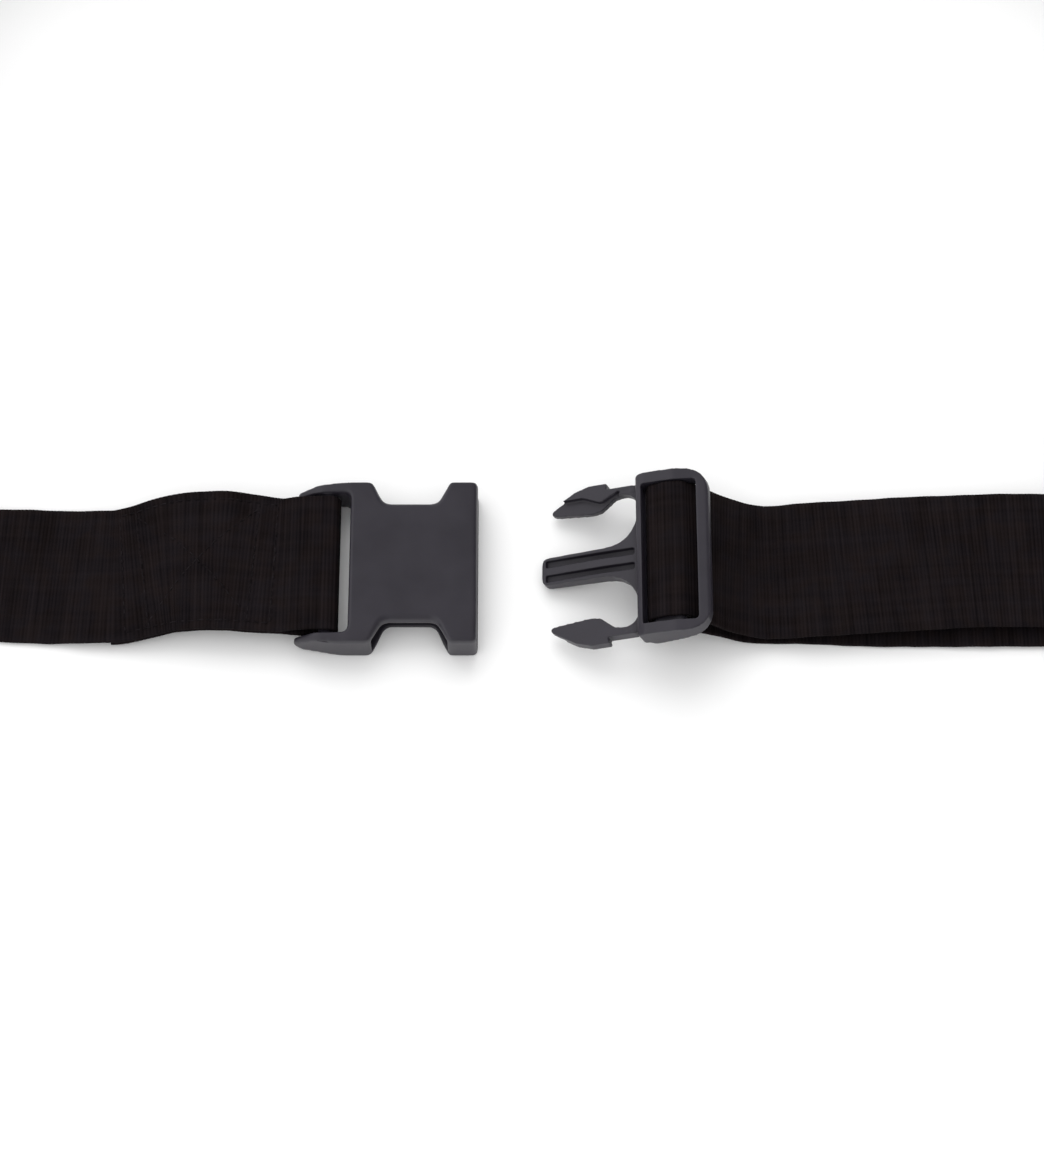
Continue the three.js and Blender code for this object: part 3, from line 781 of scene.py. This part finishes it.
class Finish:
    """A material with short calls for its nodes."""

    def __init__(self, name):
        self.material = bpy.data.materials.new(name)
        self.material.use_nodes = True
        self.tree = self.material.node_tree
        self.shader = self.tree.nodes["Principled BSDF"]

    def add(self, kind, inputs=None, **settings):
        node = self.tree.nodes.new(kind)
        for key, value in settings.items():
            setattr(node, key, value)
        for key, value in (inputs or {}).items():
            self.feed(node.inputs[key], value)
        return node

    def feed(self, socket, value):
        if isinstance(value, bpy.types.NodeSocket):
            self.tree.links.new(value, socket)
        else:
            socket.default_value = value

    def math(self, operation, *values):
        inputs = dict(enumerate(values))
        return self.add("ShaderNodeMath", inputs, operation=operation).outputs[0]

    def noise(self, place, scale, detail=3.0, roughness=0.5):
        inputs = {"Vector": place, "Scale": scale, "Detail": detail, "Roughness": roughness}
        return self.add("ShaderNodeTexNoise", inputs).outputs["Fac"]

    def spread(self, value, low, high, to_low=0.0, to_high=1.0):
        inputs = {"Value": value, "From Min": low, "From Max": high, "To Min": to_low, "To Max": to_high}
        return self.add("ShaderNodeMapRange", inputs).outputs[0]

    def blend(self, share, first, second):
        node = self.add("ShaderNodeMix", data_type="RGBA")
        self.feed(node.inputs["Factor"], share)
        colours = [socket for socket in node.inputs if socket.type == "RGBA"]
        self.feed(colours[0], first)
        self.feed(colours[1], second)
        return [socket for socket in node.outputs if socket.type == "RGBA"][0]

    def bump(self, height, distance, strength, under=None):
        inputs = {"Height": height, "Distance": distance, "Strength": strength}
        if under is not None:
            inputs["Normal"] = under
        return self.add("ShaderNodeBump", inputs).outputs[0]

    def surface(self, **values):
        for key, value in values.items():
            self.feed(self.shader.inputs[key.replace("_", " ")], value)
        return self.material


def plastic_finish():
    """Moulded plastic: fine spark-eroded grain, faint mottling, edges painted paler as rubbed wear and
    painted highlight, and crevices painted dark as painted shade.
    """
    finish = Finish("moulded_plastic")
    place = finish.add("ShaderNodeAttribute", attribute_name="rest_place").outputs["Vector"]
    cloud = finish.spread(finish.noise(place, 70, 4), 0.35, 0.65)
    speck = finish.spread(finish.noise(place, 900, 2), 0.4, 0.7)
    dark = (0.0196, 0.0170, 0.0246, 1)
    pale = (0.0254, 0.0222, 0.0314, 1)
    grain = (0.022, 0.021, 0.026, 1)
    worn_and_highlit = (0.040, 0.039, 0.046, 1)
    unlit = (0.004, 0.0036, 0.005, 1)
    mottled = finish.blend(cloud, dark, pale)
    grained = finish.blend(finish.math("MULTIPLY", speck, 0.25), mottled, grain)
    # Edges are painted paler: partly rubbed wear, partly painted highlight on the rounded edges.
    edges = finish.add("ShaderNodeNewGeometry").outputs["Pointiness"]
    scuffs = finish.spread(finish.noise(place, 260, 5, 0.7), 0.42, 0.66)
    scuffed = finish.spread(scuffs, 0, 1, 0.35, 1)
    rubbed_and_highlit = finish.math("MULTIPLY", finish.spread(edges, 0.515, 0.56), scuffed)
    colour = finish.blend(finish.math("MULTIPLY", rubbed_and_highlit, 0.55), grained, worn_and_highlit)
    # Painted shade: ambient occlusion blends the colour towards near-black and lowers the specular in
    # crevices, grooves and under lips.
    crevice = finish.add("ShaderNodeAmbientOcclusion", {"Distance": 4 * MM}, only_local=True, samples=6)
    open_to_light = finish.spread(crevice.outputs["AO"], 0.25, 0.9, 0.25, 1)
    colour = finish.blend(open_to_light, unlit, colour)
    shine = finish.math("MULTIPLY", open_to_light, 0.5)
    fine = finish.bump(finish.noise(place, 2600, 2), 0.00006, 0.35)
    waves = finish.bump(finish.noise(place, 120, 2), 0.0002, 0.12, fine)
    rough = finish.spread(cloud, 0, 1, 0.36, 0.46)
    return finish.surface(Base_Color=colour, Roughness=rough, Specular_IOR_Level=shine, Normal=waves)


def webbing_finish():
    """Woven webbing: yarns that step sideways from rib to rib, rib tops painted paler as painted
    highlight, and a faint sheen.
    """
    finish = Finish("woven_webbing")
    uv = finish.add("ShaderNodeUVMap", uv_map="weave").outputs[0]
    split = finish.add("ShaderNodeSeparateXYZ", {"Vector": uv})
    walked, across = split.outputs["X"], split.outputs["Y"]
    rib = finish.math("DIVIDE", walked, RIB_PITCH / MM)
    bulge = finish.math("ABSOLUTE", finish.math("SINE", finish.math("MULTIPLY", rib, math.pi)))
    step = finish.math("MULTIPLY", finish.math("FLOOR", rib), 0.5)
    yarn_at = finish.math("ADD", finish.math("DIVIDE", across, 0.62), step)
    yarn = finish.math("ABSOLUTE", finish.math("SINE", finish.math("MULTIPLY", yarn_at, math.pi)))
    weave = finish.math("MULTIPLY", bulge, finish.spread(yarn, 0, 1, 0.45, 1))

    def stretched(along, over):
        inputs = {"Vector": uv, "Scale": (along, over, 1)}
        return finish.add("ShaderNodeMapping", inputs).outputs[0]

    streak = finish.noise(stretched(0.7, 0.02), 1, 3)
    band = finish.noise(stretched(0.01, 0.35), 1, 2)
    patch = finish.noise(stretched(0.05, 0.06), 1, 3)
    fibre = finish.noise(stretched(9, 9), 1, 3, 0.7)
    streaked = finish.math("MULTIPLY", streak, 0.4)
    banded = finish.math("MULTIPLY", band, 0.25)
    patched = finish.math("MULTIPLY", patch, 0.35)
    mixed = finish.math("ADD", finish.math("ADD", streaked, banded), patched)
    tone = finish.spread(mixed, 0.4, 0.6)
    hue = finish.spread(finish.noise(stretched(0.13, 0.15), 1, 2), 0.4, 0.6)
    warm_shade, cool_shade = (0.0043, 0.0028, 0.0028, 1), (0.0036, 0.0028, 0.0036, 1)
    warm_light, cool_light = (0.0098, 0.0067, 0.0068, 1), (0.0086, 0.0068, 0.0082, 1)
    painted_rib_highlight = (0.0165, 0.0124, 0.0134, 1)
    shade = finish.blend(hue, warm_shade, cool_shade)
    light = finish.blend(hue, warm_light, cool_light)
    ground = finish.blend(tone, shade, light)
    uneven = finish.spread(finish.math("ADD", fibre, streak), 0.75, 1.25, 0.35, 1)
    # Painted highlight: rib tops are blended towards a paler colour, unevenly from rib to rib.
    lit = finish.math("MULTIPLY", weave, uneven)
    colour = finish.blend(finish.math("MULTIPLY", lit, 0.6), ground, painted_rib_highlight)
    yarns = finish.bump(weave, 0.00012, 0.6)
    fibres = finish.bump(fibre, 0.00005, 0.3, yarns)
    return finish.surface(
        Base_Color=colour,
        Roughness=finish.spread(tone, 0, 1, 0.78, 0.66),
        Specular_IOR_Level=0.03,
        Sheen_Weight=0.003,
        Sheen_Roughness=0.5,
        Normal=fibres,
    )


def thread_finish():
    """Bonded sewing thread: a little smoother than the cloth, paler than the webbing as painted
    highlight, with uneven dye.
    """
    finish = Finish("sewing_thread")
    place = finish.add("ShaderNodeTexCoord").outputs["Object"]
    tone = finish.spread(finish.noise(place, 420, 3), 0.35, 0.65)
    # The thread is paler than the webbing as painted highlight on the stitches; the noise between the
    # two colours is uneven dye.
    colour = finish.blend(tone, (0.0050, 0.0036, 0.0042, 1), (0.0150, 0.0120, 0.0138, 1))
    twist = finish.bump(finish.noise(place, 5200, 2), 0.00005, 0.5)
    return finish.surface(Base_Color=colour, Roughness=0.66, Specular_IOR_Level=0.06, Normal=twist)


def floor_finish():
    """Plain white paper, very slightly uneven."""
    finish = Finish("studio_floor")
    place = finish.add("ShaderNodeTexCoord").outputs["Object"]
    tone = finish.noise(place, 3, 2)
    colour = finish.blend(tone, (0.9, 0.9, 0.9, 1), (0.91, 0.91, 0.91, 1))
    return finish.surface(Base_Color=colour, Roughness=0.9, Specular_IOR_Level=0.0)


def finish_piece(piece, material):
    piece.data.materials.clear()
    piece.data.materials.append(material)


# ---------------------------------------------------------------- the belt

PLASTIC = plastic_finish()
WEBBING = webbing_finish()
THREAD = thread_finish()


def crest_distance():
    """Where the webbing is highest over the centre bar; of nearly level places, a front one."""
    start = strap.marks["adjuster_loop"]
    end = strap.marks["adjuster_lower_ply"]
    walked = np.linspace(start, end, 200)
    up = np.array(joints["latch_far_press"]["axis"])
    middle = strap.at(walked)[0]
    level = middle @ up
    forward_lean = 0.02
    return walked[int(np.argmax(level - forward_lean * middle[:, 0]))]


def make_webbing():
    """The strap as eight ribbons, cut where it bends or where it needs a finer mesh."""
    marks = strap.marks
    pivot = Vector(joints["webbing_bend"]["pos_m"])
    upper_bend = [pivot.x + reach for reach in UPPER_BEND]
    lower_bend = [pivot.x + reach for reach in LOWER_BEND]
    crest = crest_distance()
    belt_end = marks["lead_webbing"]
    loop_start = strap.where(0, upper_seam[0].x - SEAM_TO_LOOP, belt_end * 0.05, belt_end)
    belt_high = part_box("belt_webbing")[1]
    back_corner = belt_high.y - LEAD_TO_BACK
    right_side = strap.where(1, back_corner, belt_end * 0.55, belt_end)
    upper_start = strap.where(0, upper_bend[0], belt_end, marks["adjuster_upper_ply"])
    upper_turn = strap.where(0, upper_bend[1], marks["adjuster_upper_ply"], marks["adjuster_loop"])
    lower_turn = strap.where(0, lower_bend[1], marks["adjuster_lower_ply"], marks["tail_webbing"])
    lower_end = strap.where(0, lower_bend[0], marks["tail_webbing"], strap.length)

    front = ribbon("belt_front", 0, loop_start, columns=56, sealed=(True, False))
    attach(front, "strap")
    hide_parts("belt_webbing")
    loop = ribbon("belt_loop", loop_start, right_side, columns=14)
    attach(loop, "strap")
    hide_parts("belt_webbing")
    lead = ribbon("lead_strap", right_side, upper_start, columns=24)
    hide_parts("lead_webbing")
    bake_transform(lead)

    def place(walked):
        return Vector(strap.at(np.array([walked]))[0][0])

    def bend_over(piece):
        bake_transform(piece)

    upper_fold = ribbon("upper_ply_fold", upper_start, upper_turn)
    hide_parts("adjuster_upper_ply")
    bend_over(upper_fold)
    upper = ribbon("upper_ply_wrap", upper_turn, crest)
    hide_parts("adjuster_upper_ply", "adjuster_loop")
    turn_at = place(upper_turn)
    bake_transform(upper)

    lower = ribbon("lower_ply_wrap", crest, lower_turn)
    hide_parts("adjuster_lower_ply", "adjuster_loop")
    turn_at = place(lower_turn)
    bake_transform(lower)
    lower_fold = ribbon("lower_ply_fold", lower_turn, lower_end)
    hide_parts("adjuster_lower_ply")
    bend_over(lower_fold)

    tail = ribbon("tail_strap", lower_end, strap.length, sealed=(False, True))
    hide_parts("tail_webbing")
    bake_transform(tail)
    for piece in (front, loop, lead, upper_fold, upper, lower, lower_fold, tail):
        finish_piece(piece, WEBBING)


def make_sewing():
    """The box and the cross, seen on the upper ply and again on the lower one."""
    bar_x = joints["receiver_tilt"]["pos_m"][0]
    turn = strap.where(0, bar_x, 0, SEWN_REACH)
    after = turn + BAR_CLEARED
    beyond_seam = after + SEWN_REACH
    for name, rows, nodes in (
        ("box_stitches", BOX_ROWS, "box_thread"),
        ("cross_stitches", CROSS_ROWS, "cross_thread"),
    ):
        for level, start, end in (("upper", after, beyond_seam), ("lower", 0, turn)):
            piece = thread_piece(f"{name}_{level}", [row_places(row, start, end) for row in rows])
            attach(piece, "strap")
            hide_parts(f"{nodes}_{level}")
            finish_piece(piece, THREAD)


def make_hem():
    """The row of stitches across the folded end, above and below its two plies."""
    for level in ("upper", "lower"):
        low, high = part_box(f"hem_thread_{level}")
        way = 1 if level == "upper" else -1
        inner_face = low.z if way > 0 else high.z
        height = inner_face - way * HEM_SINK
        middle_x = (low.x + high.x) / 2
        across = np.linspace(low.y, high.y, 12)
        out = np.array((0.0, 0.0, way))
        line = [(np.array((middle_x, y, height)), out) for y in across]
        piece = thread_piece(f"hem_stitches_{level}", [line])
        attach(piece, "tail")
        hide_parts(f"hem_thread_{level}")
        finish_piece(piece, THREAD)


def make_buckle():
    """Both halves; the prong half's two arms are cut from it at their roots, where they join the body.
    """
    receiver = make_receiver()
    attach(receiver, "receiver")
    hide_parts("receiver")
    body, far, near = make_prong_half()
    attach(body, "male")
    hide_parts("prong_frame")
    for piece, body_name, node in (
        (far, "latch_far", "latch_arm_far"),
        (near, "latch_near", "latch_arm_near"),
    ):
        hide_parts(node)
        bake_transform(piece)
    for piece in (receiver, body, far, near):
        finish_piece(piece, PLASTIC)


# ---------------------------------------------------------------- stage, camera and light


def make_stage():
    reach = 12
    corners = [(-reach, -reach, 0), (reach, -reach, 0), (reach, reach, 0), (-reach, reach, 0)]
    floor = mesh_piece("floor", corners, [(0, 1, 2, 3)])
    floor.location.z = -0.02 * MM
    floor.data.materials.append(floor_finish())


def aim(thing, target):
    thing.rotation_euler = (Vector(target) - thing.location).to_track_quat("-Z", "Y").to_euler()


def make_camera():
    """Looks down on the front of the belt, along +Y, with the back of the loop above it."""
    data = bpy.data.cameras.new("camera")
    data.lens = CAMERA_LENS
    data.clip_start = 0.01
    camera = new_object("camera", data)
    middle_x = (receiver_low.x + receiver_high.x) / 2
    target = Vector((middle_x, 0, 0)) + VIEW_CENTRE_FROM_RECEIVER
    back = Vector((0, -math.cos(CAMERA_ELEVATION), math.sin(CAMERA_ELEVATION)))
    camera.location = target + back * CAMERA_DISTANCE
    aim(camera, target)
    bpy.context.scene.camera = camera


def area_light(name, place, size, power):
    data = bpy.data.lights.new(name, "AREA")
    data.shape = "DISK"
    data.size = size
    data.energy = power
    light = new_object(name, data)
    light.visible_glossy = False
    light.location = place
    aim(light, (0.04, 0, 0))


def make_light():
    """A bright sky, a darker one that only reflections see, and one large soft key light."""
    world = bpy.data.worlds.new("studio")
    world.use_nodes = True
    background = world.node_tree.nodes["Background"]
    background.inputs["Color"].default_value = (1, 1, 1, 1)
    nodes, links = world.node_tree.nodes, world.node_tree.links
    path = nodes.new("ShaderNodeLightPath")
    direction = nodes.new("ShaderNodeTexCoord")
    split = nodes.new("ShaderNodeSeparateXYZ")
    links.new(direction.outputs["Generated"], split.inputs[0])

    def from_left_to_right(ends, levels):
        level = nodes.new("ShaderNodeMapRange")
        level.inputs["From Min"].default_value, level.inputs["From Max"].default_value = ends
        level.inputs["To Min"].default_value, level.inputs["To Max"].default_value = levels
        links.new(split.outputs["X"], level.inputs["Value"])
        return level.outputs["Result"]

    strength = nodes.new("ShaderNodeMapRange")
    links.new(path.outputs["Is Glossy Ray"], strength.inputs["Value"])
    links.new(from_left_to_right((-1, 1), SKY_LEVELS), strength.inputs["To Min"])
    links.new(from_left_to_right((-0.45, 0.15), REFLECTED_LEVELS), strength.inputs["To Max"])
    links.new(strength.outputs["Result"], background.inputs["Strength"])
    bpy.context.scene.world = world
    area_light("key", KEY_PLACE, KEY_SIZE, KEY_POWER)
    scene = bpy.context.scene
    scene.view_settings.view_transform = "Standard"
    scene.view_settings.look = "None"


make_webbing()
make_sewing()
make_hem()
make_buckle()
make_stage()
make_camera()
make_light()
